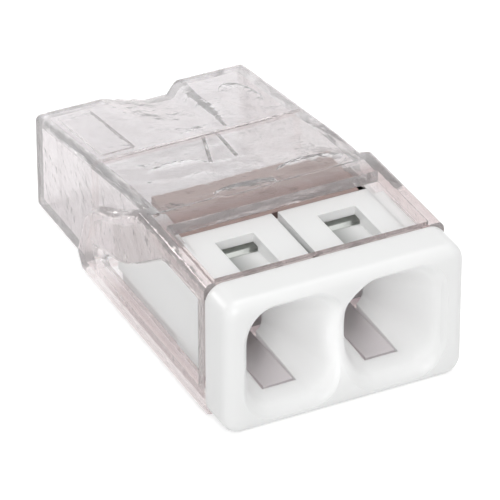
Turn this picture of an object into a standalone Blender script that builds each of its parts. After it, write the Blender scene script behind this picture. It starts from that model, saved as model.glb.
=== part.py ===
# Two-pole push-in wire connector: clear housing, white wire entry insert, current bar and two leaf springs.
# Depths are measured from the front face. Meshes are kept a thousand times too large, where small cuts come
# out clean, and one empty brings them back to size with the middle of the footprint at the origin.
import math

import bmesh
import bpy
from mathutils import Vector

MM = 0.001
WORKING_SCALE = 1000

# Overall sizes
WIDTH = 10.0 * MM
HEIGHT = 5.8 * MM
LENGTH = 18.1 * MM
POLE_TO_SIDE = 2.85 * MM
POLE_PITCH = WIDTH - 2 * POLE_TO_SIDE
POLES = {"left": -POLE_PITCH / 2, "right": POLE_PITCH / 2}

# Fits
PLASTIC_CLEARANCE = 0.1 * MM
METAL_CLEARANCE = 0.1 * MM
OVERSHOOT = 1.0 * MM
JOIN_OVERLAP = 0.15 * MM

# Front plate of the insert
PLATE_DEPTH = 1.7 * MM
PLATE_CORNER = 0.75 * MM
PLATE_EDGE = 0.5 * MM
PLATE_EDGE_STEPS = 4
CORNER_STEPS = 5

# Housing, with the flank's slope as shares of its length and of the height
HOUSING_WALL = 0.5 * MM
HOUSING_EDGE = 0.35 * MM
EDGE_STEPS = 3
RIM_WIDTH = 0.55 * MM
FRONT_RIM = 0.25 * MM
COLLAR_FRONT = PLATE_DEPTH + PLASTIC_CLEARANCE
COLLAR_END = 7.5 * MM
FLANK_LENGTH = 13.45 * MM
FLANK_FOOT = 13.0 * MM
FLANK_SLOPE = [
    (1.0, 0.138), (0.943, 0.469), (0.899, 0.574), (0.850, 0.647), (0.780, 0.714), (0.711, 0.788),
    (0.642, 0.886),
]
BOX_SET_IN = 0.38 * MM
BOX_WIDTH = WIDTH - 2 * BOX_SET_IN
BOX_STEP = 0.06 * MM
ROOF_SHOULDER = 9.8 * MM
ROOF_SHOULDER_DROP = 0.25 * MM
ROOF_CREASE = 12.4 * MM
ROOF_CREASE_DROP = 0.65 * MM
ROOF_REAR_DROP = 1.5 * MM

# Valley in the rear roof, as shares of the roof's half width and of the valley's depth
VALLEY_DEPTH = 0.65 * MM
VALLEY_START = 12.9 * MM
VALLEY_LIFT = 0.06 * MM
VALLEY_SECTION = [(-0.48, -0.08), (-0.24, 0.46), (-0.09, 0.74), (0.05, 1.0), (0.24, 1.0), (0.37, -0.08)]

# Side windows, as shares of the flank's length and of the height
WINDOW = [
    (0.171, 0.190), (0.833, 0.190), (0.866, 0.241), (0.874, 0.328), (0.821, 0.362), (0.752, 0.398),
    (0.683, 0.443), (0.628, 0.502), (0.546, 0.626), (0.480, 0.731), (0.413, 0.828), (0.372, 0.853),
    (0.171, 0.853),
]

# Insert behind the plate
INSERT_HALF = WIDTH / 2 - HOUSING_WALL - PLASTIC_CLEARANCE
INSERT_BOTTOM = HOUSING_WALL + PLASTIC_CLEARANCE
INSERT_TOP = HEIGHT - HOUSING_WALL - PLASTIC_CLEARANCE
PLUG_END = 4.7 * MM
DECK_END = 6.0 * MM
DECK_THICKNESS = 0.4 * MM
DECK_NOTCH = 0.45 * MM
DECK_BOTTOM = INSERT_TOP - DECK_THICKNESS
CHEEK_THICKNESS = 0.5 * MM
CHEEK_END = 10.3 * MM
BOSS_STEP = 5.0 * MM
BOSS_STEP_HEIGHT = 0.35 * MM
BOSS_PROUD = 0.2 * MM
CENTRE_RIB_WIDTH = 0.7 * MM
CENTRE_SLOT_WIDTH = 0.26 * MM
CENTRE_SLOT_START = 2.1 * MM
CENTRE_SLOT_DEPTH = 1.0 * MM

# Funnels: depth as a share of the plug's, half width of the pitch, lowest and highest point of the
# height, and the squareness of the section
FUNNEL = [
    (-0.021, 0.479, 0.080, 0.930, 4.5), (0.026, 0.447, 0.104, 0.903, 4.5), (0.096, 0.409, 0.128, 0.868, 4.2),
    (0.255, 0.377, 0.149, 0.797, 3.8), (0.511, 0.323, 0.158, 0.690, 3.4), (0.750, 0.270, 0.159, 0.590, 3.0),
    (1.043, 0.214, 0.159, 0.466, 2.6),
]
FUNNEL_STEPS = 36
SADDLE_WIDTH = 4.8 * MM
SADDLE_HEIGHT = 4.2 * MM
SADDLE_LENGTH = 3.0 * MM
SADDLE_DEPTH = 0.75 * MM
SADDLE_STEPS = 24
SLOT_WIDTH = 1.42 * MM
SLOT_START = 1.3 * MM
SLOT_HEIGHT = 0.8 * MM
POCKET_WIDTH = 1.6 * MM
POCKET_FRONT = 1.95 * MM
POCKET_END = 5.1 * MM
POCKET_FRONT_DEPTH = 0.35 * MM
POCKET_REAR_DEPTH = 0.6 * MM

# Leaf springs
SPRING_THICKNESS = 0.25 * MM
SPRING_WIDTH = 2.2 * MM
SPRING_DROP = 0.2 * MM
BEND_RADIUS = 0.5 * MM
BEND_STEPS = 12
BEND_Y = 5.45 * MM
SPRING_TOP = DECK_BOTTOM - SPRING_DROP
BEND_Z = SPRING_TOP - BEND_RADIUS
TONGUE_ANGLE = math.radians(42)
TONGUE_GAP = math.radians(9)

# Current bar
BAR_THICKNESS = 0.3 * MM
BAR_BOTTOM = HOUSING_WALL + METAL_CLEARANCE
BAR_TOP = BAR_BOTTOM + BAR_THICKNESS
BAR_SIDE_GAP = 0.15 * MM
BAR_WIDTH = 2 * (INSERT_HALF - CHEEK_THICKNESS - BAR_SIDE_GAP)
BAR_START = 5.2 * MM
FINGER_WIDTH = SLOT_WIDTH - 2 * METAL_CLEARANCE
FINGER_START = SLOT_START + METAL_CLEARANCE
UPRIGHT_START = 8.6 * MM
UPRIGHT_END = UPRIGHT_START + BAR_THICKNESS
WIRE_WINDOW_WIDTH = SPRING_WIDTH + 5 * METAL_CLEARANCE
WIRE_WINDOW_HEIGHT = 2.6 * MM
FLANGE_GAP = 0.3 * MM
FLANGE_START = DECK_END + FLANGE_GAP
FLANGE_BOTTOM = SPRING_TOP + METAL_CLEARANCE
FLANGE_TOP = FLANGE_BOTTOM + BAR_THICKNESS
SPRING_LEG_END = UPRIGHT_START - METAL_CLEARANCE
TONGUE_FALL = BEND_Z - BEND_RADIUS * math.cos(TONGUE_ANGLE) - BAR_TOP - METAL_CLEARANCE
TONGUE_REACH = TONGUE_FALL / math.sin(TONGUE_ANGLE)


def material(name, colour, roughness, metallic, alpha=1.0):
    made = bpy.data.materials.new(name)
    made.use_nodes = True
    shader = made.node_tree.nodes["Principled BSDF"]
    shader.inputs["Base Color"].default_value = (*colour, 1.0)
    shader.inputs["Roughness"].default_value = roughness
    shader.inputs["Metallic"].default_value = metallic
    shader.inputs["Alpha"].default_value = alpha
    return made


def add_object(name, shape, parent):
    """Turns the mesh into an object at the working scale with its faces pointing out."""
    bmesh.ops.scale(shape, vec=(WORKING_SCALE, WORKING_SCALE, WORKING_SCALE), verts=shape.verts)
    bmesh.ops.recalc_face_normals(shape, faces=shape.faces)
    mesh = bpy.data.meshes.new(name)
    shape.to_mesh(mesh)
    shape.free()
    made = bpy.data.objects.new(name, mesh)
    bpy.context.scene.collection.objects.link(made)
    made.parent = parent
    return made


def loft(name, rings, parent):
    """Joins rings of the same number of points with sides and closes both ends."""
    shape = bmesh.new()
    rows = [[shape.verts.new(point) for point in ring] for ring in rings]
    count = len(rows[0])
    for near, far in zip(rows, rows[1:]):
        for i in range(count):
            j = (i + 1) % count
            shape.faces.new((near[i], near[j], far[j], far[i]))
    shape.faces.new(rows[0])
    shape.faces.new(rows[-1])
    return add_object(name, shape, parent)


def side_prism(name, outline, start, end, parent):
    """An outline in the side view, given as depth and height, drawn out between two values of X."""
    return loft(name, [[(x, y, z) for y, z in outline] for x in (start, end)], parent)


def inset(outline, distance):
    """The outline moved inwards, where its points run anticlockwise as depth and height."""
    points = [Vector(point) for point in outline]
    lines = []
    for here, after in zip(points, points[1:] + points[:1]):
        along = (after - here).normalized()
        inward = Vector((-along.y, along.x))
        lines.append((here + inward * distance, along))
    moved = []
    for (start, along), (other, across) in zip(lines[-1:] + lines[:-1], lines):
        reach = (other - start).cross(across) / along.cross(across)
        moved.append(tuple(start + along * reach))
    return moved


def rounded_prism(name, outline, half, radius, parent):
    """A side prism across the middle plane whose edges along the outline are rounded."""
    rings = []
    for step in range(EDGE_STEPS + 1):
        angle = math.pi / 2 * step / EDGE_STEPS
        x = half - radius * (1 - math.cos(angle))
        rings.append((x, inset(outline, radius * (1 - math.sin(angle)))))
    right = [[(x, y, z) for y, z in ring] for x, ring in rings]
    left = [[(-x, y, z) for y, z in ring] for x, ring in rings]
    return loft(name, right + left[::-1], parent)


def box(name, x_range, y_range, z_range, parent):
    near, far = y_range
    low, high = z_range
    outline = [(near, low), (far, low), (far, high), (near, high)]
    return side_prism(name, outline, *x_range, parent)


def combine(target, other, operation):
    """Cuts or joins another object, which stays as a hidden helper."""
    step = target.modifiers.new(other.name, "BOOLEAN")
    step.object = other
    step.operation = operation
    step.solver = "EXACT"
    other.hide_render = True
    other.display_type = "WIRE"


def flank_points(shares):
    return [(along * FLANK_LENGTH, up * HEIGHT) for along, up in shares]


def flank_outline(front):
    """The wide part of the housing in the side view, anticlockwise from its front foot."""
    foot = [(front, 0.0), (FLANK_FOOT, 0.0)]
    return foot + flank_points(FLANK_SLOPE) + [(COLLAR_END, HEIGHT), (front, HEIGHT)]


def box_outline(front):
    """The narrow part of the housing in the side view, anticlockwise from its front foot."""
    roof = [
        (LENGTH, HEIGHT - ROOF_REAR_DROP),
        (ROOF_CREASE, HEIGHT - ROOF_CREASE_DROP),
        (ROOF_SHOULDER, HEIGHT - ROOF_SHOULDER_DROP),
        (COLLAR_END, HEIGHT - BOX_STEP),
    ]
    return [(front, BOX_STEP), (LENGTH, BOX_STEP)] + roof + [(front, HEIGHT - BOX_STEP)]


def valley(name, drop, parent):
    """A cutter for the roof's valley, which starts at nothing and is full depth at the rear."""
    rings = []
    fall = (ROOF_REAR_DROP - ROOF_CREASE_DROP) / (LENGTH - ROOF_CREASE)
    for depth, share, lift in ((VALLEY_START, 0.0, VALLEY_LIFT), (LENGTH + OVERSHOOT, 1.0, 0.0)):
        roof = HEIGHT - ROOF_CREASE_DROP - (depth - ROOF_CREASE) * fall - drop + lift
        floor = []
        for across, below in VALLEY_SECTION:
            floor.append((across * BOX_WIDTH / 2, depth, roof - below * share * VALLEY_DEPTH))
        lid = roof + OVERSHOOT
        rings.append(floor + [(floor[-1][0], depth, lid), (floor[0][0], depth, lid)])
    return loft(name, rings, parent)


def make_housing(parent):
    early = COLLAR_FRONT - OVERSHOOT
    half = WIDTH / 2
    narrow_half = BOX_WIDTH / 2
    body = rounded_prism("clear_housing", flank_outline(early), half, HOUSING_EDGE, parent)
    narrow = rounded_prism("housing_box", box_outline(PLUG_END), narrow_half, HOUSING_EDGE, parent)
    combine(body, narrow, "UNION")
    ahead = (early - OVERSHOOT, COLLAR_FRONT)
    around = (-half - OVERSHOOT, half + OVERSHOOT)
    tall = (-OVERSHOOT, HEIGHT + OVERSHOOT)
    combine(body, box("collar_cut", around, ahead, tall, parent), "DIFFERENCE")
    inner = half - HOUSING_WALL
    wide_space = inset(flank_outline(early - OVERSHOOT), HOUSING_WALL)
    combine(body, side_prism("flank_space", wide_space, -inner, inner, parent), "DIFFERENCE")
    inner = narrow_half - HOUSING_WALL
    long_space = inset(box_outline(COLLAR_FRONT), HOUSING_WALL)
    space = side_prism("box_space", long_space, -inner, inner, parent)
    combine(space, valley("space_valley", HOUSING_WALL, parent), "DIFFERENCE")
    combine(body, space, "DIFFERENCE")
    combine(body, valley("roof_valley", 0.0, parent), "DIFFERENCE")
    rims = (-half + RIM_WIDTH, half - RIM_WIDTH)
    deck_range = (COLLAR_FRONT + FRONT_RIM, DECK_END + PLASTIC_CLEARANCE)
    combine(body, box("deck_opening", rims, deck_range, (INSERT_TOP, tall[1]), parent), "DIFFERENCE")
    combine(body, side_prism("windows", flank_points(WINDOW), *around, parent), "DIFFERENCE")
    return body


def plate_ring(depth, shrink):
    """A ring of the front plate's outline, smaller on every side by the shrink."""
    radius = PLATE_CORNER - shrink / 2
    half = WIDTH / 2 - shrink - radius
    low = shrink + radius
    high = HEIGHT - shrink - radius
    ring = []
    for quarter, (x, z) in enumerate([(half, high), (-half, high), (-half, low), (half, low)]):
        for step in range(CORNER_STEPS + 1):
            angle = (quarter + step / CORNER_STEPS) * math.pi / 2
            ring.append((x + radius * math.cos(angle), depth, z + radius * math.sin(angle)))
    return ring


def make_plate(parent):
    rings = []
    for step in range(PLATE_EDGE_STEPS + 1):
        angle = math.pi / 2 * step / PLATE_EDGE_STEPS
        rings.append(plate_ring(PLATE_EDGE * (1 - math.cos(angle)), PLATE_EDGE * (1 - math.sin(angle))))
    rings.append(plate_ring(PLATE_DEPTH, 0.0))
    return loft("wire_entry_insert", rings, parent)


def cheek_outline(start):
    """A side cheek, which keeps clear of the housing's flank all along its sloping top."""
    room = inset(flank_outline(COLLAR_FRONT), HOUSING_WALL + PLASTIC_CLEARANCE)
    slope = room[2:-1]
    height = INSERT_TOP
    for (far, low), (near, high) in zip(slope, slope[1:]):
        if near <= CHEEK_END <= far:
            height = low + (high - low) * (far - CHEEK_END) / (far - near)
    top = [point for point in slope if start < point[0] < CHEEK_END]
    foot = [(start, INSERT_BOTTOM), (CHEEK_END, INSERT_BOTTOM)]
    return foot + [(CHEEK_END, height)] + top + [(start, INSERT_TOP)]


def boss_outline():
    """The raised panel of a cheek, which fills the housing's window as far as the cheek reaches."""
    opening = inset(flank_points(WINDOW), PLASTIC_CLEARANCE)
    front, low = opening[0]
    raised = low + BOSS_STEP_HEIGHT
    top = [point for point in opening if point[0] < CHEEK_END and point[1] > raised]
    return [(front, low), (BOSS_STEP, low), (BOSS_STEP, raised), (top[0][0], raised)] + top


def funnel_ring(centre, depth, half_width, low, high, squareness):
    ring = []
    for step in range(FUNNEL_STEPS):
        angle = 2 * math.pi * step / FUNNEL_STEPS
        across = math.copysign(abs(math.cos(angle)) ** (2 / squareness), math.cos(angle))
        up = math.copysign(abs(math.sin(angle)) ** (2 / squareness), math.sin(angle))
        x = centre + half_width * POLE_PITCH * across
        z = ((high + low) / 2 + (high - low) / 2 * up) * HEIGHT
        ring.append((x, depth * PLUG_END, z))
    return ring


def saddle(parent):
    """A cutter in the shape of an egg that sets the wall between the funnels back from the plate."""
    shape = bmesh.new()
    bmesh.ops.create_uvsphere(shape, u_segments=SADDLE_STEPS, v_segments=SADDLE_STEPS // 2, radius=1 / 2)
    bmesh.ops.scale(shape, vec=(SADDLE_WIDTH, SADDLE_LENGTH, SADDLE_HEIGHT), verts=shape.verts)
    bmesh.ops.translate(shape, vec=(0.0, SADDLE_DEPTH - SADDLE_LENGTH / 2, HEIGHT / 2), verts=shape.verts)
    return add_object("saddle", shape, parent)


def centred(middle, width):
    return (middle - width / 2, middle + width / 2)


def make_insert(parent):
    body = make_plate(parent)
    start = PLATE_DEPTH - JOIN_OVERLAP
    across = (-INSERT_HALF, INSERT_HALF)
    combine(body, box("plug", across, (start, PLUG_END), (INSERT_BOTTOM, INSERT_TOP), parent), "UNION")
    combine(body, box("deck", across, (start, DECK_END), (DECK_BOTTOM, INSERT_TOP), parent), "UNION")
    rib_heights = (BAR_TOP + PLASTIC_CLEARANCE, INSERT_TOP - JOIN_OVERLAP)
    rib_range = (PLUG_END - JOIN_OVERLAP, DECK_END - JOIN_OVERLAP)
    rib = box("centre_rib", centred(0.0, CENTRE_RIB_WIDTH), rib_range, rib_heights, parent)
    combine(body, rib, "UNION")
    inside = INSERT_HALF - CHEEK_THICKNESS
    for side, sign in (("left", -1), ("right", 1)):
        cheek_walls = (sign * inside, sign * INSERT_HALF)
        combine(body, side_prism(side + "_cheek", cheek_outline(start), *cheek_walls, parent), "UNION")
        boss_walls = (sign * (INSERT_HALF - JOIN_OVERLAP), sign * (INSERT_HALF + BOSS_PROUD))
        combine(body, side_prism(side + "_boss", boss_outline(), *boss_walls, parent), "UNION")
        notch_walls = (sign * (INSERT_HALF - DECK_NOTCH), sign * (INSERT_HALF + OVERSHOOT))
        notch_range = (DECK_END - DECK_NOTCH, COLLAR_END)
        notch = box(side + "_notch", notch_walls, notch_range, (DECK_BOTTOM, HEIGHT), parent)
        combine(body, notch, "DIFFERENCE")
    for side, centre in POLES.items():
        rings = [funnel_ring(centre, *ring) for ring in FUNNEL]
        combine(body, loft(side + "_funnel", rings, parent), "DIFFERENCE")
        slot_heights = (HOUSING_WALL, HOUSING_WALL + SLOT_HEIGHT)
        slot_range = (SLOT_START, PLUG_END + OVERSHOOT)
        slot = box(side + "_slot", centred(centre, SLOT_WIDTH), slot_range, slot_heights, parent)
        combine(body, slot, "DIFFERENCE")
        pocket = [
            (POCKET_FRONT, INSERT_TOP - POCKET_FRONT_DEPTH),
            (PLUG_END, INSERT_TOP - POCKET_REAR_DEPTH),
            (POCKET_END, INSERT_TOP - POCKET_REAR_DEPTH),
            (POCKET_END, HEIGHT),
            (POCKET_FRONT, HEIGHT),
        ]
        pocket_walls = centred(centre, POCKET_WIDTH)
        combine(body, side_prism(side + "_pocket", pocket, *pocket_walls, parent), "DIFFERENCE")
    combine(body, saddle(parent), "DIFFERENCE")
    slot_heights = (INSERT_TOP - CENTRE_SLOT_DEPTH, HEIGHT)
    slot_range = (CENTRE_SLOT_START, DECK_END + OVERSHOOT)
    slot = box("centre_slot", centred(0.0, CENTRE_SLOT_WIDTH), slot_range, slot_heights, parent)
    combine(body, slot, "DIFFERENCE")
    return body


def make_bar(parent):
    outline = [
        (BAR_START, BAR_BOTTOM),
        (UPRIGHT_END, BAR_BOTTOM),
        (UPRIGHT_END, FLANGE_TOP),
        (FLANGE_START, FLANGE_TOP),
        (FLANGE_START, FLANGE_BOTTOM),
        (UPRIGHT_START, FLANGE_BOTTOM),
        (UPRIGHT_START, BAR_TOP),
        (BAR_START, BAR_TOP),
    ]
    body = side_prism("current_bar", outline, *centred(0.0, BAR_WIDTH), parent)
    for side, centre in POLES.items():
        finger_range = (FINGER_START, BAR_START + JOIN_OVERLAP)
        finger_heights = (BAR_BOTTOM, BAR_TOP)
        finger = box(side + "_finger", centred(centre, FINGER_WIDTH), finger_range, finger_heights, parent)
        combine(body, finger, "UNION")
        window_walls = centred(centre, WIRE_WINDOW_WIDTH)
        window_range = (UPRIGHT_START - JOIN_OVERLAP, UPRIGHT_END + OVERSHOOT)
        window_heights = (BAR_TOP, BAR_TOP + WIRE_WINDOW_HEIGHT)
        window = box(side + "_wire_window", window_walls, window_range, window_heights, parent)
        combine(body, window, "DIFFERENCE")
    return body


def bend_point(radius, angle):
    """A point on the spring's bend, with the angle turning from the rear up and over to the front."""
    return (radius * math.cos(angle), radius * math.sin(angle))


def make_spring(side, hinge):
    inner = BEND_RADIUS - SPRING_THICKNESS
    walls = centred(0.0, SPRING_WIDTH)
    arc_end = 3 * math.pi / 2 - TONGUE_ANGLE
    arc = [math.pi / 2 + (arc_end - math.pi / 2) * step / BEND_STEPS for step in range(BEND_STEPS + 1)]
    leg_end = SPRING_LEG_END - BEND_Y
    outline = [(leg_end, inner), (leg_end, BEND_RADIUS)]
    outline += [bend_point(BEND_RADIUS, angle) for angle in arc]
    outline += [bend_point(inner, angle) for angle in reversed(arc)]
    leg = side_prism(side + "_spring_leg", outline, *walls, hinge)
    start = arc_end + TONGUE_GAP
    near = [bend_point(inner, start), bend_point(BEND_RADIUS, start)]
    far = []
    for radius in (BEND_RADIUS, inner):
        y, z = bend_point(radius, arc_end)
        reach = Vector((math.cos(TONGUE_ANGLE), -math.sin(TONGUE_ANGLE))) * TONGUE_REACH
        far.append((y + reach.x, z + reach.y))
    tongue = side_prism(side + "_spring_tongue", near + far, *walls, hinge)
    return leg, tongue


def build():
    for old in list(bpy.data.objects):
        bpy.data.objects.remove(old)
    base = bpy.data.objects.new("front_datum", None)
    bpy.context.scene.collection.objects.link(base)
    base.location = (0.0, -LENGTH / 2, 0.0)
    base.scale = (1 / WORKING_SCALE, 1 / WORKING_SCALE, 1 / WORKING_SCALE)
    clear = material("clear_plastic", (0.84, 0.80, 0.81), 0.05, 0.0, 0.35)
    white = material("white_plastic", (0.86, 0.86, 0.85), 0.35, 0.0)
    tin = material("tinned_copper", (0.72, 0.70, 0.68), 0.35, 1.0)
    steel = material("spring_steel", (0.62, 0.63, 0.61), 0.25, 1.0)
    make_housing(base).data.materials.append(clear)
    make_insert(base).data.materials.append(white)
    make_bar(base).data.materials.append(tin)
    for side, centre in POLES.items():
        hinge = bpy.data.objects.new(side + "_hinge", None)
        bpy.context.scene.collection.objects.link(hinge)
        hinge.parent = base
        hinge.location = Vector((centre, BEND_Y, BEND_Z)) * WORKING_SCALE
        for piece in make_spring(side, hinge):
            piece.data.materials.append(steel)


build()
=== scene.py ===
# %% [markdown]
# # A push-in wire connector, dressed for its picture
# The connector is a clear housing snapped over a white insert. A current bar and two leaf springs sit
# inside. The solids come first, already in their real places, and every later cell adds the look of one
# piece on top of them.

# %% Load the solids
import math

import bmesh
import bpy
from mathutils import Matrix, Vector


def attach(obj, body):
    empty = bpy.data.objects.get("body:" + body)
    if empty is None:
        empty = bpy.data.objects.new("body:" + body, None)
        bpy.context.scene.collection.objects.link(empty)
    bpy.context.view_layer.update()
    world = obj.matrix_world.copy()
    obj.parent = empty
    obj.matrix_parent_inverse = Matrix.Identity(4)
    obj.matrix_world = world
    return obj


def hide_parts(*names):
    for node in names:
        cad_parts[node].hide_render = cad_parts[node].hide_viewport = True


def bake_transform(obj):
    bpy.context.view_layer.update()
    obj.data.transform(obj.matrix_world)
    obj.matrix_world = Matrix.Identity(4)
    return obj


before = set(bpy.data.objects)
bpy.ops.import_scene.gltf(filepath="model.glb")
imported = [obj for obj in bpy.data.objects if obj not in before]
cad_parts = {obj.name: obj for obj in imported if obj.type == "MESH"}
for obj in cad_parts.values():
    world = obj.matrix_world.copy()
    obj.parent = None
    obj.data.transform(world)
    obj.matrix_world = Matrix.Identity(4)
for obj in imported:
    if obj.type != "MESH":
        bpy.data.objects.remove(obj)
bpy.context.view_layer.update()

# %% [markdown]
# ## Camera
# The photograph looks down on the left front corner with a long lens, so edges that run away from the
# viewer stay almost parallel. A long focal length from far off gives that flat look; a short one would
# make the front plate swell.

# %% Place the camera
AZIMUTH = math.radians(26.4)
ELEVATION = math.radians(32.75)
FOCUS = Vector((0.0, -0.00205, 0.0025))
DISTANCE = 0.1721
away = Vector((
    -math.sin(AZIMUTH) * math.cos(ELEVATION),
    -math.cos(AZIMUTH) * math.cos(ELEVATION),
    math.sin(ELEVATION),
))
lens = bpy.data.cameras.new("picture_camera")
lens.sensor_width = 36.0
lens.lens = 324.0
lens.shift_x = -0.0256
lens.shift_y = 0.0198
lens.clip_start = 0.01
camera = bpy.data.objects.new("picture_camera", lens)
camera.location = FOCUS + away * DISTANCE
camera.rotation_euler = away.to_track_quat("Z", "Y").to_euler()
bpy.context.scene.collection.objects.link(camera)
bpy.context.scene.camera = camera
bpy.context.scene.view_settings.view_transform = "Standard"
print("camera at", [round(value, 4) for value in camera.location])

# %% [markdown]
# ## Small node helpers
# Floor, room and finishes all need the same few nodes: a small sum, a share that grows between two places,
# and a colour that follows such a share. They could be wired up one by one each time, but as short
# functions they let a finish read as a list of what happens where.

# %% Node helpers
def combine(tree, operation, first, second=0.0):
    """One Math node; each input is a socket or a number."""
    math_node = tree.nodes.new("ShaderNodeMath")
    math_node.operation = operation
    for socket, value in zip(math_node.inputs, (first, second)):
        if isinstance(value, float):
            socket.default_value = value
        else:
            tree.links.new(value, socket)
    return math_node.outputs[0]


def ramp(tree, value, span, most=1.0, least=0.0):
    """A share that grows from the least at the start of a span to the most at its end."""
    span_node = tree.nodes.new("ShaderNodeMapRange")
    span_node.inputs["From Min"].default_value = span[0]
    span_node.inputs["From Max"].default_value = span[1]
    span_node.inputs["To Min"].default_value = least
    span_node.inputs["To Max"].default_value = most
    tree.links.new(value, span_node.inputs["Value"])
    return span_node.outputs["Result"]


def tint(tree, share, plain, tinted):
    """A colour that goes from the plain one, a colour or a socket, to the tinted one."""
    mix = tree.nodes.new("ShaderNodeMix")
    mix.data_type = "RGBA"
    tree.links.new(share, mix.inputs["Factor"])
    if isinstance(plain, tuple):
        mix.inputs["A"].default_value = plain
    else:
        tree.links.new(plain, mix.inputs["A"])
    mix.inputs["B"].default_value = tinted
    return mix.outputs["Result"]


def place_on_piece(tree):
    """The place on a piece in metres: across, towards the rear and up."""
    where = tree.nodes.new("ShaderNodeTexCoord")
    split = tree.nodes.new("ShaderNodeSeparateXYZ")
    tree.links.new(where.outputs["Object"], split.inputs["Vector"])
    return [split.outputs[axis] for axis in "XYZ"]


def looked_along(tree):
    """One for rays from the camera, off a shiny surface or through clear plastic; else nothing."""
    path = tree.nodes.new("ShaderNodeLightPath")
    share = combine(tree, "MAXIMUM", path.outputs["Is Camera Ray"], path.outputs["Is Glossy Ray"])
    return combine(tree, "MAXIMUM", share, path.outputs["Is Transmission Ray"])


print("node helpers ready")

# %% [markdown]
# ## White floor and white room
# A small clear part on white shows mostly what surrounds it, so floor and room are white too. If they
# were bright for every ray they would also flood the part with light. So the floor glows, and the room
# is at full strength, only for rays that are looked along, and the floor still takes a soft shadow.

# %% Build the floor
FLOOR_HALF = 0.6
FLOOR_WHITE = (0.86, 0.86, 0.86, 1.0)
FLOOR_GLOW = 0.42
PURE_WHITE = (1.0, 1.0, 1.0, 1.0)

floor_mesh = bpy.data.meshes.new("floor")
floor_shape = bmesh.new()
bmesh.ops.create_grid(floor_shape, x_segments=1, y_segments=1, size=FLOOR_HALF)
floor_shape.to_mesh(floor_mesh)
floor_shape.free()
floor = bpy.data.objects.new("floor", floor_mesh)
bpy.context.scene.collection.objects.link(floor)

floor_paint = bpy.data.materials.new("white_floor")
floor_paint.use_nodes = True
tree = floor_paint.node_tree
shader = tree.nodes["Principled BSDF"]
shader.inputs["Base Color"].default_value = FLOOR_WHITE
shader.inputs["Roughness"].default_value = 0.9
shader.inputs["Specular IOR Level"].default_value = 0.0
shader.inputs["Emission Color"].default_value = PURE_WHITE
glow = combine(tree, "MULTIPLY", looked_along(tree), FLOOR_GLOW)
tree.links.new(glow, shader.inputs["Emission Strength"])
floor_mesh.materials.append(floor_paint)
print("floor", 2 * FLOOR_HALF, "metres wide")

# %% Build the room
WORLD_LIGHT = 0.49
WORLD_SEEN = 1.0

world = bpy.data.worlds.new("white_room")
world.use_nodes = True
bpy.context.scene.world = world
tree = world.node_tree
backdrop = tree.nodes["Background"]
backdrop.inputs["Color"].default_value = PURE_WHITE
level = ramp(tree, looked_along(tree), (0.0, 1.0), WORLD_SEEN, WORLD_LIGHT)
tree.links.new(level, backdrop.inputs["Strength"])
print("room lights at", WORLD_LIGHT, "and shows at", WORLD_SEEN)

# %% [markdown]
# ## Lamps
# One small lamp would be simplest, but it throws hard shadows. Two wide lamps, one above and one in front,
# give soft ones. A third, small lamp behind the part is only there to be mirrored in the clear edges. It
# is hidden from diffuse and transmitted rays, so it shows in reflections alone.

# %% Hang the lamps
def add_lamp(name, place, power, size):
    """A square lamp that looks at the middle of the part."""
    light = bpy.data.lights.new(name, "AREA")
    light.energy = power
    light.size = size
    lamp = bpy.data.objects.new(name, light)
    lamp.location = place
    lamp.rotation_euler = (Vector(place) - FOCUS).to_track_quat("Z", "Y").to_euler()
    bpy.context.scene.collection.objects.link(lamp)
    return lamp


add_lamp("top_softbox", place=(0.02, 0.02, 0.32), power=0.425, size=0.24)
add_lamp("front_softbox", place=(-0.14, -0.305, 0.20), power=0.565, size=0.20)
edge_lamp = add_lamp("edge_softbox", place=(-0.162, 0.224, 0.115), power=0.20, size=0.07)
edge_lamp.visible_diffuse = False
edge_lamp.visible_transmission = False
print("lamps", [light.name for light in bpy.data.lights])

# %% [markdown]
# ## Helpers for moulded pieces
# The pieces are drawn in millimetres, measured from the front face, and shrunk to metres at the end.
# Cutting at that size keeps the solid cuts exact. A block starts as one flat side view that is pulled
# out sideways, and its edges are then rounded.

# %% Block helpers
MM = 0.001
FRONT = -9.05
PITCH = 4.3
POLES = (-PITCH / 2, PITCH / 2)
HEIGHT = 5.8


def outline_block(outline, low, high):
    """A side view, as depth and height, pulled out between two places across the part."""
    shape = bmesh.new()
    face = shape.faces.new([shape.verts.new((low, y, z)) for y, z in outline])
    grown = bmesh.ops.extrude_face_region(shape, geom=[face])["geom"]
    moved = [item for item in grown if isinstance(item, bmesh.types.BMVert)]
    bmesh.ops.translate(shape, verts=moved, vec=(high - low, 0.0, 0.0))
    bmesh.ops.recalc_face_normals(shape, faces=shape.faces)
    return shape


def block(x_range, y_range, z_range):
    """A plain block between pairs of places across, in depth and in height."""
    near, far = y_range
    low, high = z_range
    return outline_block([(near, low), (far, low), (far, high), (near, high)], *x_range)


def round_edges(shape, chosen, radius, steps):
    """Rounds the edges that a test chooses."""
    edges = [edge for edge in shape.edges if chosen(edge)]
    bmesh.ops.bevel(
        shape, geom=edges, offset=radius, offset_type="OFFSET", segments=steps, profile=0.5,
        affect="EDGES", clamp_overlap=True, material=-1,
    )
    return shape


def along_depth(edge):
    """True where an edge runs from front to rear."""
    run = edge.verts[1].co - edge.verts[0].co
    return abs(run.y) > 0.99 * run.length


def grow(shape, face):
    """Extrudes a face by nothing, and returns the old face and the new one."""
    grown = bmesh.ops.extrude_face_region(shape, geom=[face])["geom"]
    return face, next(item for item in grown if isinstance(item, bmesh.types.BMFace))


def on_side(edge):
    """True where an edge lies in one side face, so that it belongs to the outline."""
    return abs(edge.verts[0].co.x - edge.verts[1].co.x) < 1e-6


print("poles at", POLES, "millimetres")

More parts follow.
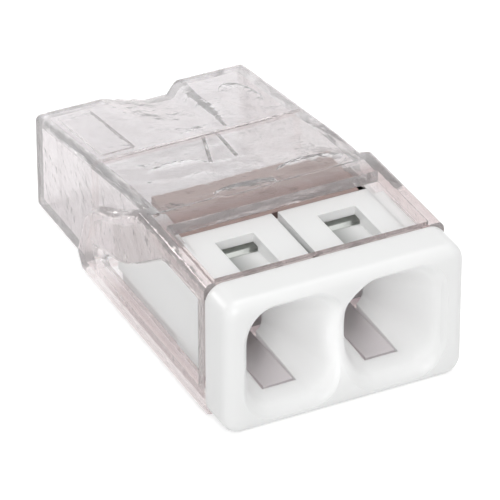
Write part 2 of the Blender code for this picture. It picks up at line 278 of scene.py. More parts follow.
# %% [markdown]
# ## Cutting and finishing a piece
# A Boolean modifier joins or cuts whole shapes, which suits a moulding better than moving single
# vertices. Each cut is made real at once, so no helper shape stays in the scene. The last step welds the
# piece, shrinks it into place and breaks its sharp edges, because no moulded edge is perfectly sharp.

# %% Piece helpers
WELD = 0.002


def as_object(name, shape):
    """Puts a shape into the scene under a name."""
    mesh = bpy.data.meshes.new(name)
    shape.to_mesh(mesh)
    shape.free()
    made = bpy.data.objects.new(name, mesh)
    bpy.context.scene.collection.objects.link(made)
    return made


def carve(piece, shape, operation):
    """Cuts a shape out of a piece, or joins it on, and leaves no helper behind."""
    tool = as_object(piece.name + "_tool", shape)
    step = piece.modifiers.new("carve", "BOOLEAN")
    step.object = tool
    step.operation = operation
    step.solver = "EXACT"
    graph = bpy.context.evaluated_depsgraph_get()
    carved = bpy.data.meshes.new_from_object(piece.evaluated_get(graph))
    piece.modifiers.clear()
    old = piece.data
    piece.data = carved
    bpy.data.meshes.remove(old)
    carved.name = piece.name
    old = tool.data
    bpy.data.objects.remove(tool)
    bpy.data.meshes.remove(old)


def settle(piece, smooth_angle, edge=0.0):
    """Welds a finished piece, shrinks it to metres in place, rounds its last edges and smooths it."""
    shape = bmesh.new()
    shape.from_mesh(piece.data)
    bmesh.ops.remove_doubles(shape, verts=shape.verts, dist=WELD)
    bmesh.ops.dissolve_degenerate(shape, edges=shape.edges, dist=WELD)
    place = Matrix.Diagonal((MM, MM, MM, 1.0)) @ Matrix.Translation((0.0, FRONT, 0.0))
    bmesh.ops.transform(shape, matrix=place, verts=shape.verts)
    shape.to_mesh(piece.data)
    shape.free()
    piece.data.shade_smooth()
    piece.data.set_sharp_from_angle(angle=math.radians(smooth_angle))
    if edge:
        soft = piece.modifiers.new("soft_edges", "BEVEL")
        soft.width = edge * MM
        soft.segments = 2
        soft.limit_method = "ANGLE"
        soft.angle_limit = math.radians(smooth_angle)
        soft.harden_normals = False
    weighted = piece.modifiers.new("even_shading", "WEIGHTED_NORMAL")
    weighted.keep_sharp = True
    print(piece.name, "faces", len(piece.data.polygons))


print("vertices closer than", WELD, "millimetres are welded")

# %% [markdown]
# ## One mottle for every finish
# A moulding tool and a rolling mill both leave faint unevenness. One shared effect, a fine mottle, moves
# the roughness and the surface a little. It is a node group, built once and placed in each finish with
# values of its own.

# %% Shared mottle
mottle = bpy.data.node_groups.new("fine_mottle", "ShaderNodeTree")
for name in ("Grain", "Low", "High"):
    mottle.interface.new_socket(name, in_out="INPUT", socket_type="NodeSocketFloat")
mottle.interface.new_socket("Vector", in_out="INPUT", socket_type="NodeSocketVector")
mottle.interface.new_socket("Value", in_out="OUTPUT", socket_type="NodeSocketFloat")
mottle.interface.new_socket("Height", in_out="OUTPUT", socket_type="NodeSocketFloat")
entry = mottle.nodes.new("NodeGroupInput")
leave = mottle.nodes.new("NodeGroupOutput")
grain = mottle.nodes.new("ShaderNodeTexNoise")
grain.inputs["Detail"].default_value = 3.0
span = mottle.nodes.new("ShaderNodeMapRange")
mottle.links.new(entry.outputs["Vector"], grain.inputs["Vector"])
mottle.links.new(entry.outputs["Grain"], grain.inputs["Scale"])
mottle.links.new(grain.outputs["Fac"], span.inputs["Value"])
mottle.links.new(entry.outputs["Low"], span.inputs["To Min"])
mottle.links.new(entry.outputs["High"], span.inputs["To Max"])
mottle.links.new(span.outputs["Result"], leave.inputs["Value"])
mottle.links.new(grain.outputs["Fac"], leave.inputs["Height"])
print("shared effect", mottle.name)

# %% A finish with the mottle in it
RELIEF_DEPTH = 0.0001


def finish(name, colour, metallic, grain_scale, rough, bump, stretch=(1.0, 1.0, 1.0)):
    """A finish whose roughness and surface follow the mottle; stretch draws the grain out."""
    made = bpy.data.materials.new(name)
    made.use_nodes = True
    tree = made.node_tree
    look = tree.nodes["Principled BSDF"]
    look.inputs["Base Color"].default_value = colour
    look.inputs["Metallic"].default_value = metallic
    where = tree.nodes.new("ShaderNodeTexCoord")
    turn = tree.nodes.new("ShaderNodeMapping")
    turn.inputs["Scale"].default_value = stretch
    tree.links.new(where.outputs["Object"], turn.inputs["Vector"])
    spots = tree.nodes.new("ShaderNodeGroup")
    spots.node_tree = mottle
    spots.inputs["Grain"].default_value = grain_scale
    spots.inputs["Low"].default_value = rough[0]
    spots.inputs["High"].default_value = rough[1]
    tree.links.new(turn.outputs["Vector"], spots.inputs["Vector"])
    tree.links.new(spots.outputs["Value"], look.inputs["Roughness"])
    relief = tree.nodes.new("ShaderNodeBump")
    relief.inputs["Strength"].default_value = bump
    relief.inputs["Distance"].default_value = RELIEF_DEPTH
    tree.links.new(spots.outputs["Height"], relief.inputs["Height"])
    tree.links.new(relief.outputs["Normal"], look.inputs["Normal"])
    print("finish", name)
    return made


# %% [markdown]
# ## Clear plastic
# The housing is clear with a faint mauve cast. Face on, its wall is almost colourless; looked at along
# the wall, where the light passes through more of it, the cast is strong. A volume that absorbs light
# could do the same, at the price of a slower render. Layer Weight knows how edge-on a surface is, so it
# drives the tint instead. The rest goes by place: a clearer front and more mauve at the collar, and a
# darker mauve painted as shade at the foot, along the rim round the deck and in the crease of the roof.

# %% Tint of the clear walls
CLEAR = (0.9, 0.86, 0.865, 1.0)
CLEAR_FRONT = (0.92, 0.918, 0.924, 1.0)
CLEAR_REAR = (0.85, 0.84, 0.85, 1.0)
CLEAR_EDGE_ON = (0.28, 0.13, 0.12, 1.0)
EDGE_ON_POWER = 3.0
REAR_BEGINS = (0.0030, 0.0038)

clear_plastic = finish(
    "clear_plastic", CLEAR, metallic=0.0, grain_scale=800.0, rough=(0.02, 0.10), bump=0.7,
)
tree = clear_plastic.node_tree
look = tree.nodes["Principled BSDF"]
look.inputs["Transmission Weight"].default_value = 1.0
look.inputs["IOR"].default_value = 1.45
look.inputs["Alpha"].default_value = 0.9
look.inputs["Specular Tint"].default_value = (1.0, 0.90, 0.90, 1.0)
across, back, up = place_on_piece(tree)
edge_on = tree.nodes.new("ShaderNodeLayerWeight")
edge_on.inputs["Blend"].default_value = 0.5
steep = combine(tree, "POWER", edge_on.outputs["Facing"], EDGE_ON_POWER)
clear = tint(tree, ramp(tree, back, REAR_BEGINS), CLEAR_FRONT, CLEAR_REAR)
clear = tint(tree, steep, clear, CLEAR_EDGE_ON)
print("clear walls tinted from", CLEAR_FRONT, "to", CLEAR_EDGE_ON)

# %% Tint of the collar, and painted shade at the foot, the rim and the crease
FOOT_PAINTED_SHADE = (0.40, 0.31, 0.31, 1.0)
FOOT_HEIGHT = (0.0016, 0.0)
FOOT_REAR = (0.0030, 0.0010)
COLLAR_MAUVE = (0.69, 0.60, 0.60, 1.0)
COLLAR_SIDE = (0.00455, 0.00485)
RIM_AND_CREASE_PAINTED_SHADE = (0.60, 0.505, 0.50, 1.0)
RIM_DEPTH = (-0.0020, -0.0028)
RIM_HEIGHT = (0.0048, 0.0053)
CREASE_PLACE = 0.00335
CREASE_HALF = (0.00018, 0.00010)
MOST_MAUVE_AND_SHADE = 0.9
MOST_AT_CREASE = 0.8

# Painted shade: the foot of the housing is darkened towards the floor in a deeper mauve.
foot = combine(tree, "MULTIPLY", ramp(tree, up, FOOT_HEIGHT, MOST_MAUVE_AND_SHADE), ramp(tree, back, FOOT_REAR))
clear = tint(tree, foot, clear, FOOT_PAINTED_SHADE)
outward = combine(tree, "ABSOLUTE", across)
clear = tint(tree, ramp(tree, outward, COLLAR_SIDE, MOST_MAUVE_AND_SHADE), clear, COLLAR_MAUVE)
# Painted shade: a darker mauve along the rim round the deck and in the crease of the roof.
rim = combine(tree, "MULTIPLY", ramp(tree, back, RIM_DEPTH), ramp(tree, up, RIM_HEIGHT, MOST_MAUVE_AND_SHADE))
from_crease = combine(tree, "ABSOLUTE", combine(tree, "SUBTRACT", back, CREASE_PLACE))
crease = ramp(tree, from_crease, CREASE_HALF, MOST_AT_CREASE)
clear = tint(tree, combine(tree, "MAXIMUM", rim, crease), clear, RIM_AND_CREASE_PAINTED_SHADE)
tree.links.new(clear, look.inputs["Base Color"])
print("foot, collar, rim and crease take more mauve")

# %% [markdown]
# ## White plastic
# The insert is a satin white moulding that lets a little light in, so a small subsurface share softens
# it. In the photograph the insides of the funnels are nearly as pale as the plate. Rendered from a single
# white they come out darker, so light is painted into them: the insides start from a paler white.

# %% White, with painted light inside the funnels
WHITE = (0.972, 0.975, 0.972, 1.0)
WHITE_OUTSIDE = (0.81, 0.813, 0.81, 1.0)
FUNNEL_PAINTED_LIGHT = (0.98, 0.983, 0.98, 1.0)
MOUTH_DEPTH = (-0.0090, -0.0085)
MOUTH_TOP = (0.0052, 0.0046)
MOUTH_SIDE = 0.00405

white_plastic = finish(
    "white_plastic", WHITE, metallic=0.0, grain_scale=900.0, rough=(0.30, 0.42), bump=0.04,
)
tree = white_plastic.node_tree
look = tree.nodes["Principled BSDF"]
look.inputs["Subsurface Weight"].default_value = 0.4
look.inputs["Subsurface Radius"].default_value = (1.0, 1.0, 1.0)
look.inputs["Subsurface Scale"].default_value = 0.0006
across, back, up = place_on_piece(tree)
outward = combine(tree, "ABSOLUTE", across)
# Painted light: a paler white inside the funnels stands in for the light that reaches them.
inside = combine(tree, "MULTIPLY", ramp(tree, back, MOUTH_DEPTH), ramp(tree, up, MOUTH_TOP))
inside = combine(tree, "MULTIPLY", inside, combine(tree, "LESS_THAN", outward, MOUTH_SIDE))
white = tint(tree, inside, WHITE_OUTSIDE, FUNNEL_PAINTED_LIGHT)
print("white from", WHITE_OUTSIDE, "to", FUNNEL_PAINTED_LIGHT)

# %% [markdown]
# ## Shade in the test pockets
# Each pocket in the deck has a floor that slopes down to the rear, and the photograph shows it a soft
# grey that deepens to one side. A second material on those faces would end in a hard line, so the grey is
# painted shade, a tint by place. The height over the sloping floor says where the pocket is, and the
# remainder of the place across, divided by the pitch, makes both poles alike.

# %% Painted shade on the pocket floors
POCKET_PAINTED_SHADE = (0.15, 0.16, 0.15, 1.0)
POCKET_START = -0.0071
POCKET_FALL = 0.0909
POCKET_SIDE = (0.0031, 0.0013)
POCKET_RISE = (0.00515, 0.0049)
POCKET_BOTTOM = 0.0046
POCKET_OUTER = 0.0035

pole = combine(tree, "MODULO", combine(tree, "ADD", across, 2 * PITCH * MM), PITCH * MM)
fallen = combine(tree, "MULTIPLY", combine(tree, "ADD", back, -POCKET_START), POCKET_FALL)
over_floor = combine(tree, "ADD", up, fallen)
# Painted shade: the pocket floors are greyed where shade gathers in the pockets.
shade = combine(tree, "MULTIPLY", ramp(tree, pole, POCKET_SIDE), ramp(tree, over_floor, POCKET_RISE))
for limit in (
    combine(tree, "GREATER_THAN", over_floor, POCKET_BOTTOM),
    combine(tree, "GREATER_THAN", back, POCKET_START),
    combine(tree, "LESS_THAN", outward, POCKET_OUTER),
):
    shade = combine(tree, "MULTIPLY", shade, limit)
tree.links.new(tint(tree, shade, white, POCKET_PAINTED_SHADE), look.inputs["Base Color"])
print("pocket floors shaded to", POCKET_PAINTED_SHADE)

# %% [markdown]
# ## Metal strips
# The current bar is tinned copper: pale where it lies under the funnels, and darker and warmer near the
# roof, so its colour goes by height. The springs are bright rolled steel. Their grain is drawn out along
# the strip by stretching the shared mottle, so no texture of their own is needed.

# %% Tin and steel
TIN = (0.74, 0.67, 0.665, 1.0)
TIN_LOW = (0.91, 0.865, 0.88, 1.0)
TIN_HIGH = (0.46, 0.36, 0.335, 1.0)
TARNISH_HEIGHT = (0.0012, 0.0045)
STEEL = (0.66, 0.68, 0.65, 1.0)

tin_plate = finish(
    "tin_plate", TIN, metallic=1.0, grain_scale=1500.0, rough=(0.38, 0.55), bump=0.06,
    stretch=(1.0, 0.2, 1.0),
)
tree = tin_plate.node_tree
height_on_bar = place_on_piece(tree)[2]
tarnish = tint(tree, ramp(tree, height_on_bar, TARNISH_HEIGHT), TIN_LOW, TIN_HIGH)
tree.links.new(tarnish, tree.nodes["Principled BSDF"].inputs["Base Color"])
spring_steel = finish(
    "spring_steel", STEEL, metallic=1.0, grain_scale=2500.0, rough=(0.16, 0.30), bump=0.06,
    stretch=(1.0, 0.1, 0.1),
)

# %% [markdown]
# ## Clear housing
# The real housing is one thin moulding: a wide collar with windowed flanks, and a narrower box behind
# it with a sloping roof. It is made from two side views pulled out to their widths, joined, and then
# hollowed with smaller copies of the same views, so the wall stays even, as moulded walls do.

# %% Housing outlines
WALL = 0.5
COLLAR_FRONT = 1.8
COLLAR_HALF = 5.0
BOX_HALF = 4.62
BOX_FOOT = 0.06
BOX_TOP = 5.74
BOX_REAR = 18.1
ROOF_REAR = 4.3
CREASE = 12.4
ROOF_CREASE = 5.15
FLANK = [
    (13.0, 0.0), (13.45, 0.8), (12.68, 2.72), (12.09, 3.33), (11.43, 3.75), (10.49, 4.14), (9.56, 4.57),
    (8.64, 5.14), (7.5, HEIGHT),
]
BOX = [(BOX_REAR, BOX_FOOT), (BOX_REAR, ROOF_REAR), (CREASE, ROOF_CREASE), (9.8, 5.55), (7.5, BOX_TOP)]


def flank_from(start):
    """The collar's side view, closed at a depth near the front."""
    return [(start, 0.0)] + FLANK + [(start, HEIGHT)]


def box_from(start):
    """The box's side view, closed at a depth near the front."""
    return [(start, BOX_FOOT)] + BOX + [(start, BOX_TOP)]


def drawn_in(outline, distance):
    """The outline moved inwards by the wall, so that a hollow keeps an even thickness."""
    points = [Vector(point) for point in outline]
    lines = []
    for here, after in zip(points, points[1:] + points[:1]):
        run = (after - here).normalized()
        lines.append((here + Vector((-run.y, run.x)) * distance, run))
    moved = []
    for (start, run), (other, next_run) in zip(lines[-1:] + lines[:-1], lines):
        reach = (other - start).cross(next_run) / run.cross(next_run)
        moved.append(tuple(start + run * reach))
    return moved


print("collar", 2 * COLLAR_HALF, "and box", 2 * BOX_HALF, "millimetres wide")

# %% [markdown]
# ## Valley in the roof
# The rear roof has a shallow dip that starts as nothing near the crease and deepens to the rear. A side
# view can't hold it, because it doesn't run across the whole width. So two rings, one at each end, are
# bridged into a wedge. The wedge is cut from the roof and, lower by one wall, kept out of the hollow, so
# that the wall under the dip stays about as thick as the rest.

# %% Valley wedge
VALLEY = [(-2.2, -0.05), (-1.1, 0.36), (-0.4, 0.58), (0.2, 0.78), (1.1, 0.78), (1.7, -0.05)]
VALLEY_START = 12.9
VALLEY_END = 19.1
VALLEY_LIFT = 0.06
VALLEY_CLEAR = 1.0


def valley_cut(drop):
    """The wedge of the dip, lowered by a drop."""
    fall = (ROOF_CREASE - ROOF_REAR) / (BOX_REAR - CREASE)
    shape = bmesh.new()
    ends = []
    for depth, share, lift in ((VALLEY_START, 0.0, VALLEY_LIFT), (VALLEY_END, 1.0, 0.0)):
        roof = ROOF_CREASE - (depth - CREASE) * fall - drop + lift
        ring = [(x, depth, roof - below * share) for x, below in VALLEY]
        ring += [(VALLEY[-1][0], depth, roof + VALLEY_CLEAR), (VALLEY[0][0], depth, roof + VALLEY_CLEAR)]
        ends.append(shape.faces.new([shape.verts.new(point) for point in ring]))
    bmesh.ops.bridge_loops(shape, edges=[edge for face in ends for edge in face.edges])
    bmesh.ops.recalc_face_normals(shape, faces=shape.faces)
    return shape


print("valley", VALLEY[-1][0] - VALLEY[0][0], "millimetres wide")

# %% [markdown]
# ## Walls of the housing
# Collar and box are joined first and hollowed afterwards, one space for each. The Solidify modifier could
# give a wall too, but the two spaces also have to open into each other, and cuts do that by themselves.

# %% Mould the housing walls
HOUSING_EDGE_STEPS = 5
COLLAR_EDGE = 0.32
BOX_EDGE = 0.28
BEYOND = 7.0
BEFORE = -1.0
FLANK_START = 0.5
BOX_START = 4.7
BOX_REAR_EDGES = 17.0
FRONT_CUT = ((-BEYOND, BEYOND), (BEFORE, COLLAR_FRONT), (-1.0, 8.0))

flank_shape = outline_block(flank_from(FLANK_START), -COLLAR_HALF, COLLAR_HALF)
round_edges(flank_shape, on_side, COLLAR_EDGE, HOUSING_EDGE_STEPS)
housing = as_object("clear_shell", flank_shape)
box_shape = outline_block(box_from(BOX_START), -BOX_HALF, BOX_HALF)
round_edges(
    box_shape, lambda edge: on_side(edge) or edge.verts[0].co.y > BOX_REAR_EDGES,
    BOX_EDGE, HOUSING_EDGE_STEPS,
)
carve(housing, box_shape, "UNION")
carve(housing, block(*FRONT_CUT), "DIFFERENCE")
flank_space = drawn_in(flank_from(BEFORE), WALL)
carve(housing, outline_block(flank_space, WALL - COLLAR_HALF, COLLAR_HALF - WALL), "DIFFERENCE")
box_space = drawn_in(box_from(COLLAR_FRONT), WALL)
hollow = as_object("box_hollow", outline_block(box_space, WALL - BOX_HALF, BOX_HALF - WALL))
carve(hollow, valley_cut(WALL), "DIFFERENCE")
hollow_shape = bmesh.new()
hollow_shape.from_mesh(hollow.data)
bpy.data.objects.remove(hollow)
carve(housing, hollow_shape, "DIFFERENCE")
carve(housing, valley_cut(0.0), "DIFFERENCE")
print("housing walls", len(housing.data.polygons), "faces")

# %% [markdown]
# ## Openings and relief of the housing
# The deck shows through an opening in the top, and the insert's latch bosses through a window in each
# flank. The clear roof is full of small steps that bend the light. A groove at the crease, a recess
# under the roof, a few shallow dents and fine grooves stand for them, all about 0.1 mm deep.

# %% Open the housing
DECK_OPENING = ((-4.45, 4.45), (2.05, 6.1), (5.2, 7.0))
CREASE_GROOVE = ((-4.3, 4.3), (12.3, 12.5), (5.06, 6.0))
INNER_RECESS = [(13.1, 4.2), (17.3, 3.6), (17.3, 4.1), (13.1, 4.72)]
INNER_RECESS_SIDES = (-3.9, -2.5)
WINDOW = [
    (2.3, 1.1), (11.2, 1.1), (11.65, 1.4), (11.75, 1.9), (11.04, 2.1), (10.11, 2.31), (9.19, 2.57),
    (8.45, 2.91), (7.35, 3.63), (6.45, 4.24), (5.55, 4.8), (5.0, 4.95), (2.3, 4.95),
]

carve(housing, block(*DECK_OPENING), "DIFFERENCE")
carve(housing, outline_block(WINDOW, -BEYOND, BEYOND), "DIFFERENCE")
carve(housing, block(*CREASE_GROOVE), "DIFFERENCE")
carve(housing, outline_block(INNER_RECESS, *INNER_RECESS_SIDES), "DIFFERENCE")
print("housing with openings", len(housing.data.polygons), "faces")

# %% Mark the roof
DENTS = [
    ((2.4, 7.75, 5.74), (1.5, 0.75, 0.10), -4.7), ((-0.6, 7.3, 5.76), (1.3, 0.55, 0.10), 0.0),
    ((-2.2, 9.9, 5.56), (1.4, 0.9, 0.08), -8.7), ((3.0, 15.0, 4.77), (0.7, 1.5, 0.08), -8.5),
]
GROOVE_WIDTH = 0.11
GROOVES = [
    ((1.2, 12.7, 5.08), (1.75, 18.0, 4.30)), ((0.0, 12.2, 5.16), (-0.8, 9.85, 5.52)),
    ((0.6, 12.2, 5.16), (0.3, 9.85, 5.52)),
]
ON_ITS_EDGE = Matrix.Rotation(math.radians(45.0), 3, "Y")

for place, size, slope in DENTS:
    dent = bmesh.new()
    bmesh.ops.create_uvsphere(dent, u_segments=48, v_segments=24, radius=1.0)
    bmesh.ops.scale(dent, verts=dent.verts, vec=size)
    bmesh.ops.rotate(dent, verts=dent.verts, matrix=Matrix.Rotation(math.radians(slope), 3, "X"))
    bmesh.ops.translate(dent, verts=dent.verts, vec=place)
    carve(housing, dent, "DIFFERENCE")
for start, end in GROOVES:
    run = Vector(end) - Vector(start)
    groove = bmesh.new()
    bmesh.ops.create_cube(groove, size=1.0)
    bmesh.ops.scale(groove, verts=groove.verts, vec=(GROOVE_WIDTH, run.length, GROOVE_WIDTH))
    turn = run.to_track_quat("Y", "Z").to_matrix()
    bmesh.ops.rotate(groove, verts=groove.verts, matrix=turn @ ON_ITS_EDGE)
    bmesh.ops.translate(groove, verts=groove.verts, vec=(Vector(start) + Vector(end)) / 2)
    carve(housing, groove, "DIFFERENCE")
print("roof marks", len(DENTS) + len(GROOVES))

# %% Finish the housing
SMOOTH_ANGLE = 32.0
SOFT_EDGE = 0.07

settle(housing, SMOOTH_ANGLE, SOFT_EDGE)
housing.data.materials.append(clear_plastic)
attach(housing, "connector")
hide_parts("clear_housing")

# %% [markdown]
# ## White insert
# The insert closes the front of the housing. Behind its plate it carries a deck, and on each side a
# cheek with a latch boss that fills the housing's window. It could be cut from one solid block, but plate,
# body, deck and cheeks joined one by one are easier to read and to change. The cheek follows the inside of
# the collar, so its outline is taken from the same flank with a small gap.

# %% Plate, body and deck
PLATE_DEPTH = 1.7
PLATE_CORNER = 0.75
PLATE_CORNER_STEPS = 8
PLATE_RIM = 0.5
PLATE_RIM_STEPS = 7
FRONT_FACE = 1e-4
BODY_HALF = 4.4
BODY_FRONT = 1.55
BODY_REAR = 4.7
BODY_FOOT = 0.6
DECK_REAR = 6.0
DECK_FOOT = 4.8
DECK_TOP = 5.2
REAR_RIB = ((-0.35, 0.35), (4.55, 5.85), (1.0, 5.05))

plate_shape = block((-COLLAR_HALF, COLLAR_HALF), (0.0, PLATE_DEPTH), (0.0, HEIGHT))
round_edges(plate_shape, along_depth, PLATE_CORNER, PLATE_CORNER_STEPS)
round_edges(
    plate_shape, lambda edge: max(vert.co.y for vert in edge.verts) < FRONT_FACE,
    PLATE_RIM, PLATE_RIM_STEPS,
)
insert = as_object("white_insert", plate_shape)
body_block = block((-BODY_HALF, BODY_HALF), (BODY_FRONT, BODY_REAR), (BODY_FOOT, DECK_TOP))
deck_block = block((-BODY_HALF, BODY_HALF), (BODY_FRONT, DECK_REAR), (DECK_FOOT, DECK_TOP))
for added in (body_block, deck_block, block(*REAR_RIB)):
    carve(insert, added, "UNION")
print("plate and body", len(insert.data.polygons), "faces")

# %% Cheeks and latch bosses
CHEEK_GAP = 0.1
CHEEK_REAR = 10.3
CHEEK_REAR_TOP = 3.57
CHEEK_INNER = 3.9
BOSS = [
    (2.4, 1.2), (5.0, 1.2), (5.0, 1.55), (10.25, 1.55), (10.25, 2.17), (9.24, 2.44), (8.51, 2.76),
    (7.4, 3.49), (6.5, 4.1), (5.55, 4.66), (5.0, 4.8), (2.4, 4.8),
]
BOSS_INNER = 4.25
BOSS_OUTER = 4.6
NOTCH = ((5.55, 7.5), (4.8, HEIGHT))
NOTCH_INNER = 3.95
NOTCH_OUTER = 5.4

room = drawn_in(flank_from(COLLAR_FRONT), WALL + CHEEK_GAP)
cheek = [(BODY_FRONT, BODY_FOOT), (CHEEK_REAR, BODY_FOOT), (CHEEK_REAR, CHEEK_REAR_TOP)]
cheek += [point for point in room[2:-1] if BODY_FRONT < point[0] < CHEEK_REAR]
cheek += [(BODY_FRONT, DECK_TOP)]
for sign in (-1.0, 1.0):
    carve(insert, outline_block(cheek, *sorted((sign * CHEEK_INNER, sign * BODY_HALF))), "UNION")
    carve(insert, outline_block(BOSS, *sorted((sign * BOSS_INNER, sign * BOSS_OUTER))), "UNION")
    carve(insert, block(sorted((sign * NOTCH_INNER, sign * NOTCH_OUTER)), *NOTCH), "DIFFERENCE")
print("cheek outline", len(cheek), "points")

# %% [markdown]
# ## Funnels
# The plate carries the two wire funnels, whose rims are so soft that plate and funnel flow into each
# other. A cone would be quick, but it has no corners and no soft rim. So a funnel is a rounded mouth that
# is pulled inwards again and again while it shrinks, and the stack of steps is then cut out of the plate.
# Each row below is a depth, a half width, a floor and a top.

# %% Cut the funnels
FUNNEL = [
    (-0.10, 2.13, 0.36, 5.46), (0.02, 2.10, 0.40, 5.42), (0.07, 2.02, 0.48, 5.34), (0.16, 1.94, 0.57, 5.25),
    (0.30, 1.85, 0.66, 5.14), (0.50, 1.77, 0.75, 5.01), (0.80, 1.70, 0.82, 4.84), (1.20, 1.62, 0.87, 4.62),
    (2.40, 1.39, 0.92, 4.00), (3.53, 1.16, 0.92, 3.42), (4.90, 0.92, 0.92, 2.70),
]
MOUTH_CORNER = 0.62
MOUTH_CORNER_STEPS = 14
UPRIGHT = Matrix.Rotation(math.radians(90.0), 3, "X")


def funnel_cut(centre):
    """The space inside one funnel, from before the plate to the end of the bore."""
    depth, half, low, high = FUNNEL[0]
    shape = bmesh.new()
    bmesh.ops.create_grid(shape, x_segments=1, y_segments=1, size=1.0)
    bmesh.ops.rotate(shape, verts=shape.verts, matrix=UPRIGHT)
    bmesh.ops.bevel(
        shape, geom=shape.verts, offset=MOUTH_CORNER, offset_type="OFFSET", segments=MOUTH_CORNER_STEPS,
        profile=0.5, affect="VERTICES", clamp_overlap=True, material=-1,
    )
    bmesh.ops.scale(shape, verts=shape.verts, vec=(half, 1.0, (high - low) / 2))
    bmesh.ops.translate(shape, verts=shape.verts, vec=(centre, depth, (high + low) / 2))
    face = next(iter(shape.faces))
    is_mouth = True
    for next_depth, next_half, next_low, next_high in FUNNEL[1:]:
        old, face = grow(shape, face)
        ring = list(face.verts)
        middle = Vector((centre, depth, (high + low) / 2))
        size = (next_half / half, 1.0, (next_high - next_low) / (high - low))
        bmesh.ops.scale(shape, verts=ring, vec=size, space=Matrix.Translation(-middle))
        rise = (next_high + next_low - high - low) / 2
        bmesh.ops.translate(shape, verts=ring, vec=(0.0, next_depth - depth, rise))
        depth, half, low, high = next_depth, next_half, next_low, next_high
        if not is_mouth:
            shape.faces.remove(old)
        is_mouth = False
    bmesh.ops.recalc_face_normals(shape, faces=shape.faces)
    return shape


for centre in POLES:
    carve(insert, funnel_cut(centre), "DIFFERENCE")
print("funnels", len(POLES), "of", len(FUNNEL), "rings")

# %% [markdown]
# ## Slots and test pockets
# A slot in each funnel's floor bares the current bar, a pocket in the deck leaves room for a test probe,
# and a thin slot runs between the two poles. A slope could be bevelled into the deck, but these are plain
# shapes, so each is one cut with a block or an outline.

# %% Cut the slots and the pockets
BAR_SLOT_HALF = 0.71
BAR_SLOT = ((1.3, 5.7), (0.5, 1.3))
POCKET = [(1.95, 4.85), (4.7, 4.6), (5.1, 4.6), (5.1, 5.8), (1.95, 5.8)]
POCKET_HALF = 0.8
DECK_SLOT = ((-0.13, 0.13), (2.1, 7.0), (4.2, 5.8))

for centre in POLES:
    bar_slot = block((centre - BAR_SLOT_HALF, centre + BAR_SLOT_HALF), *BAR_SLOT)
    carve(insert, bar_slot, "DIFFERENCE")
    pocket = outline_block(POCKET, centre - POCKET_HALF, centre + POCKET_HALF)
    carve(insert, pocket, "DIFFERENCE")
carve(insert, block(*DECK_SLOT), "DIFFERENCE")
print("insert with slots", len(insert.data.polygons), "faces")

# %% [markdown]
# ## Wall between the funnels
# The wall between the two funnels lies deeper than the plate and runs into both in one soft hollow. A
# plain cut would leave a sharp rim, so the front faces are sliced into a fine grid and the wall is pressed
# back, most in the middle and not at all at the border.

# %% Press the wall back
SADDLE_HALF_WIDTH = 2.3
SADDLE_HALF_HEIGHT = 2.3
SADDLE_MIDDLE = 2.9
SADDLE_DEPTH = 0.75
SADDLE_REACH = 1.6
SADDLE_CELLS = 26
SLICED_DEPTH = 1.2


def press_back(piece):
    """Presses the wall between the funnels back in a soft saddle, so that its rounded rim stays round."""
    shape = bmesh.new()
    shape.from_mesh(piece.data)
    for axis, middle, reach in ((0, 0.0, SADDLE_HALF_WIDTH), (2, SADDLE_MIDDLE, SADDLE_HALF_HEIGHT)):
        for step in range(SADDLE_CELLS + 1):
            place, normal = Vector(), Vector()
            place[axis] = middle + reach * (2.0 * step / SADDLE_CELLS - 1.0)
            normal[axis] = 1.0
            near = [face for face in shape.faces if face.calc_center_median().y < SLICED_DEPTH]
            edges = {edge for face in near for edge in face.edges}
            verts = {vert for face in near for vert in face.verts}
            bmesh.ops.bisect_plane(
                shape, geom=[*verts, *edges, *near], dist=0.001, plane_co=place, plane_no=normal,
            )
    for vert in shape.verts:
        sideways = vert.co.x / SADDLE_HALF_WIDTH
        upwards = (vert.co.z - SADDLE_MIDDLE) / SADDLE_HALF_HEIGHT
        if vert.co.y < SADDLE_REACH and abs(sideways) < 1.0 and abs(upwards) < 1.0:
            share = (1.0 - sideways ** 2) ** 2 * (1.0 - upwards ** 2) ** 2
            vert.co.y += SADDLE_DEPTH * share * (1.0 - vert.co.y / SADDLE_REACH)
    shape.to_mesh(piece.data)
    shape.free()


press_back(insert)
settle(insert, SMOOTH_ANGLE, SOFT_EDGE)
insert.data.materials.append(white_plastic)
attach(insert, "connector")
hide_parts("wire_entry_insert")

# %% [markdown]
# ## Leaf springs
# Each spring is one steel strip: a leg under the roof, a tight bend, and a tongue that slants down and
# bites the wire. A curve could carry the strip too, but a face that is pulled forward, turned round the
# bend in steps and pulled out again leaves even rows of faces across it.

# %% Strip sizes and one pull
THICKNESS = 0.25
STRIP_WIDTH = 2.2
LEG_END = 8.5
LEG_STEPS = 4
BEND = Vector((0.0, 5.45, 4.1))
BEND_RADIUS = 0.5
BEND_STEPS = 16
TONGUE_SLOPE = math.radians(42.0)
TONGUE_LENGTH = 4.1
TONGUE_STEPS = 8
SPRING_SMOOTH_ANGLE = 40.0


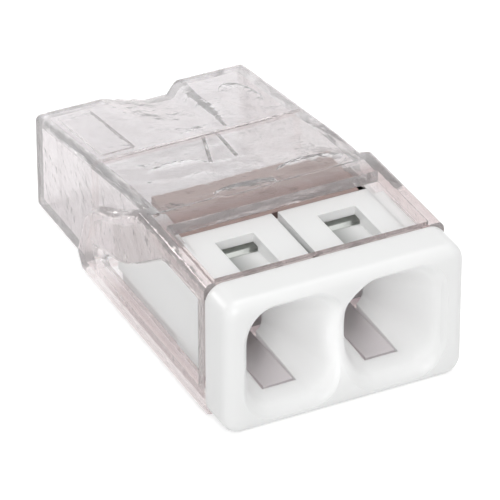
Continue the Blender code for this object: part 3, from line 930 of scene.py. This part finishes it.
def pull(shape, face, steps, move):
    """Extrudes a face in equal steps and returns the new end face."""
    for _ in range(steps):
        old, face = grow(shape, face)
        bmesh.ops.translate(shape, verts=list(face.verts), vec=Vector(move) / steps)
        if old.is_valid and len(shape.faces) > 6:
            shape.faces.remove(old)
    return face


print("strip", STRIP_WIDTH, "by", THICKNESS, "millimetres")


# %% Bend the springs
def spring_strip(name, centre):
    """One strip from the end of its leg, round the bend, to the tip of its tongue."""
    shape = bmesh.new()
    bmesh.ops.create_grid(shape, x_segments=1, y_segments=1, size=0.5)
    bmesh.ops.rotate(shape, verts=shape.verts, matrix=UPRIGHT)
    bmesh.ops.scale(shape, verts=shape.verts, vec=(STRIP_WIDTH, 1.0, THICKNESS))
    start = (centre, LEG_END, BEND.z + BEND_RADIUS - THICKNESS / 2)
    bmesh.ops.translate(shape, verts=shape.verts, vec=start)
    last = pull(shape, next(iter(shape.faces)), LEG_STEPS, (0.0, BEND.y - LEG_END, 0.0))
    swing = Matrix.Rotation((math.pi - TONGUE_SLOPE) / BEND_STEPS, 3, "X")
    middle = Vector((centre, BEND.y, BEND.z))
    for _ in range(BEND_STEPS):
        old, last = grow(shape, last)
        bmesh.ops.rotate(shape, verts=list(last.verts), cent=middle, matrix=swing)
        if old.is_valid:
            shape.faces.remove(old)
    run = Vector((0.0, math.cos(TONGUE_SLOPE), -math.sin(TONGUE_SLOPE)))
    pull(shape, last, TONGUE_STEPS, run * TONGUE_LENGTH)
    bmesh.ops.recalc_face_normals(shape, faces=shape.faces)
    strip = as_object(name, shape)
    settle(strip, SPRING_SMOOTH_ANGLE)
    strip.data.materials.append(spring_steel)
    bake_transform(strip)
    return strip


left_spring = spring_strip("left_spring", -PITCH / 2)
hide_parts("left_spring_leg", "left_spring_tongue")
right_spring = spring_strip("right_spring", PITCH / 2)
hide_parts("right_spring_leg", "right_spring_tongue")

# %% [markdown]
# ## Current bar
# The bar's solid already has the real shape, a bent strip with square edges, so it keeps its solid and
# only takes the satin tin finish.

# %% Finish the bar
bar = bpy.data.objects["current_bar"]
bar.data.materials.clear()
bar.data.materials.append(tin_plate)
print(bar.name, "takes", tin_plate.name)
